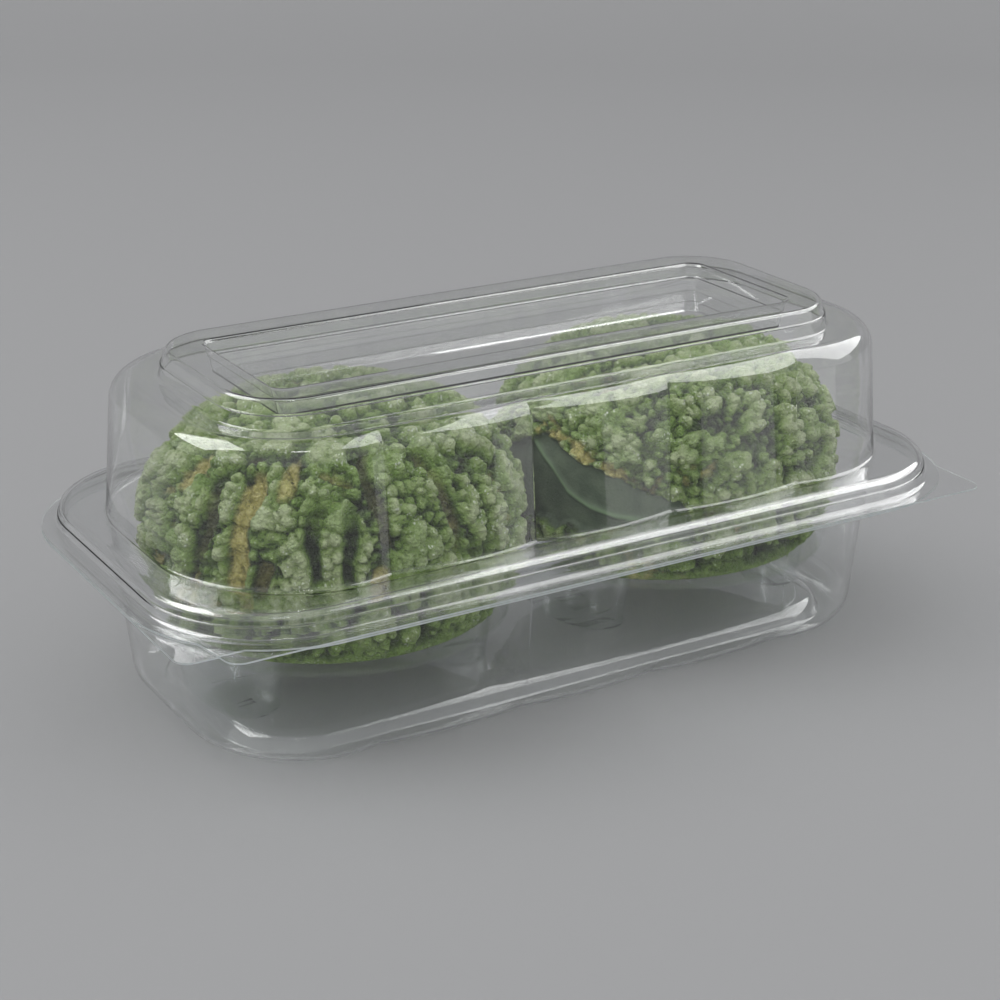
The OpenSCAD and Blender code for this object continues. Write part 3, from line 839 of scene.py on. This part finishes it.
def crust_material():
    """Sugared grey-green crust with deep green gaps darkened by painted shade, tan dough in its splits and
    smooth dark dough where bare.
    """
    g = Graph("sugared_crust")
    lift_and_painted_shade, dough, bare = (g.attribute(k) for k in ("lift_and_painted_shade", "dough", "bare"))
    uneven = g.math("ADD", lift_and_painted_shade, g.math("MULTIPLY", g.math("SUBTRACT", g.noise(500.0, 4.0, 0.6), 0.5), 0.55))
    # The ramp's near-black low end is painted shade in the gaps; its higher stops are the crust's deep green
    # and pale sugared grey-green
    crust = g.ramp(uneven, [
        (0.05, (0.012, 0.022, 0.006)), (0.28, (0.050, 0.092, 0.014)), (0.50, (0.130, 0.210, 0.040)),
        (0.72, (0.200, 0.275, 0.088)), (1.0, (0.310, 0.365, 0.195))])
    mossy = g.span(g.noise(70.0, 2.0), 0.5, 0.66)
    crust = g.mix(g.math("MULTIPLY", mossy, 0.6), crust, (0.125, 0.215, 0.032))
    sugar = g.math("MULTIPLY", g.span(g.cell(2000.0, "Color"), 0.78, 0.83), g.span(lift_and_painted_shade, 0.25, 0.8))
    sugar = g.math("MULTIPLY", sugar, g.span(g.noise(160.0, 2.0), 0.45, 0.65))
    crust = g.mix(g.math("MULTIPLY", sugar, 0.75), crust, (0.62, 0.66, 0.56))
    crumbly = g.noise(600.0, 3.0)
    tan = g.ramp(crumbly, [
        (0.3, (0.20, 0.185, 0.050)), (0.5, (0.37, 0.335, 0.105)), (0.75, (0.52, 0.47, 0.21))])
    crust = g.mix(dough, crust, tan)
    inner = g.ramp(g.noise(160.0, 3.0), [(0.35, (0.048, 0.074, 0.042)), (0.65, (0.080, 0.112, 0.066))])
    inner = g.mix(g.span(bare, 1.1, 1.9), inner, (0.110, 0.175, 0.088))
    colour = g.mix(g.span(bare, 0.3, 0.7), crust, inner)
    glint = g.span(g.cell(1700.0, "Color"), 0.74, 0.80)
    glint = g.math("MULTIPLY", glint, g.math("SUBTRACT", 1.0, bare, True))
    roughness = g.math("SUBTRACT", 0.78, g.math("MULTIPLY", glint, 0.6))
    grains = g.math("SUBTRACT", g.math("MULTIPLY", g.noise(900.0, 3.0), 0.8), g.cell(1150.0))
    grains = g.math("MULTIPLY", grains, g.math("SUBTRACT", 1.0, g.math("MULTIPLY", bare, 0.85), True))
    normal = g.bump(grains, 0.0007)
    shader = g.make("ShaderNodeBsdfPrincipled", Base_Color=colour, Roughness=roughness, Normal=normal)
    return g.finish(shader.outputs["BSDF"])


def plain_material(name, colour, roughness):
    """A dull surface of one colour."""
    mat = bpy.data.materials.new(name)
    mat.use_nodes = True
    bsdf = mat.node_tree.nodes["Principled BSDF"]
    bsdf.inputs["Base Color"].default_value = (*colour, 1)
    bsdf.inputs["Roughness"].default_value = roughness
    return mat


def make_stage():
    """A grey floor that sweeps up behind the object."""
    points, faces = [], []
    profile = [(-STAGE_REACH, 0), (SWEEP_START, 0)]
    for a in np.radians(np.arange(10, 91, 10)):
        profile.append((SWEEP_START + SWEEP_R * math.sin(a), SWEEP_R - SWEEP_R * math.cos(a)))
    profile.append((SWEEP_START + SWEEP_R, SWEEP_TOP))
    # The sweep runs square to the camera's view
    yaw = math.radians(CAMERA_YAW)
    for u, z in profile:
        for side in (-STAGE_REACH, STAGE_REACH):
            x = side * math.cos(yaw) + u * math.sin(yaw)
            y = -side * math.sin(yaw) + u * math.cos(yaw)
            points.append((x, y, z))
    for k in range(len(profile) - 1):
        faces.append((2 * k, 2 * k + 1, 2 * k + 3, 2 * k + 2))
    ob = mesh_object("floor_sweep", points, faces)
    ob.data.materials.append(plain_material("grey_paper", PAPER, 0.8))


def make_camera():
    """The camera that matches the photograph."""
    yaw, pitch, roll = (math.radians(a) for a in (CAMERA_YAW, CAMERA_PITCH, CAMERA_ROLL))
    forward = Vector((math.sin(yaw) * math.cos(pitch), math.cos(yaw) * math.cos(pitch), -math.sin(pitch)))
    right = Vector((math.cos(yaw), -math.sin(yaw), 0))
    down = forward.cross(right)
    across = right * math.cos(roll) + down * math.sin(roll)
    up = right * math.sin(roll) - down * math.cos(roll)
    place = (Vector(CAMERA_TARGET) - forward * CAMERA_DISTANCE) * MM
    camera = bpy.data.cameras.new("camera")
    camera.lens = CAMERA_LENS
    camera.sensor_width = 36
    camera.clip_start = 0.01
    camera.clip_end = 20
    ob = bpy.data.objects.new("camera", camera)
    ob.matrix_world = Matrix((
        (across.x, up.x, -forward.x, place.x),
        (across.y, up.y, -forward.y, place.y),
        (across.z, up.z, -forward.z, place.z),
        (0, 0, 0, 1)))
    bpy.context.scene.collection.objects.link(ob)
    bpy.context.scene.camera = ob


def soft_box(name, azimuth, elevation, distance, width, height, radiance, seen_by):
    """A rectangular lamp that faces the object; azimuth is measured from +X towards +Y.

    One that is seen by gloss shows in the sheets, and one that is seen by soft lights dull surfaces."""
    a, e = math.radians(azimuth), math.radians(elevation)
    away = Vector((math.cos(a) * math.cos(e), math.sin(a) * math.cos(e), math.sin(e)))
    lamp = bpy.data.lights.new(name, "AREA")
    lamp.shape = "RECTANGLE"
    lamp.size = width
    lamp.size_y = height
    lamp.energy = radiance * math.pi * width * height
    ob = bpy.data.objects.new(name, lamp)
    ob.location = away * distance + Vector((0, 0, 0.05))
    ob.rotation_mode = "QUATERNION"
    ob.rotation_quaternion = away.to_track_quat("Z", "Y")
    ob.visible_diffuse = seen_by == "soft"
    ob.visible_glossy = seen_by == "gloss"
    ob.visible_transmission = seen_by == "gloss"
    ob.visible_camera = False
    bpy.context.scene.collection.objects.link(ob)


def make_lights():
    """The lamps and the even light of the room."""
    for lamp in LAMPS:
        soft_box(*lamp)
    world = bpy.data.worlds.new("room")
    bpy.context.scene.world = world
    world.use_nodes = True
    background = world.node_tree.nodes["Background"]
    background.inputs["Color"].default_value = (*WORLD_COLOUR, 1)
    background.inputs["Strength"].default_value = WORLD_STRENGTH


def dress_nodes():
    """Materials for the CAD nodes that stay."""
    tray = thin_material("clear_tray", TRAY_TINT, 0.05, 0.00001, 60.0)
    for name in ("left_inner_tray", "right_inner_tray"):
        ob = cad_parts[name]
        ob.data.materials.clear()
        ob.data.materials.append(tray)


scene = bpy.context.scene
scene.view_settings.view_transform = "Standard"
scene.cycles.transparent_max_bounces = 24
scene.cycles.max_bounces = 14
scene.cycles.transmission_bounces = 12
scene.cycles.diffuse_bounces = 2
scene.cycles.glossy_bounces = 3

make_camera()
make_stage()
make_lights()
edge = cut_edge_material("cut_edge")
for piece, name in ((make_lid(), "clear_lid_sheet"), (make_base(), "clear_base_sheet")):
    piece.data.materials.append(clear_material(name, SHEET_TINT, 0.03, 0.000005, 45.0))
    piece.data.materials.append(edge)
crust = crust_material()
for piece in (
        make_bun("crackled_bun_left", "left_bun", -BUN_X, LEFT_CRUST, carve_left),
        make_bun("crackled_bun_right", "right_bun", BUN_X, RIGHT_CRUST, carve_right)):
    piece.data.materials.append(crust)
dress_nodes()
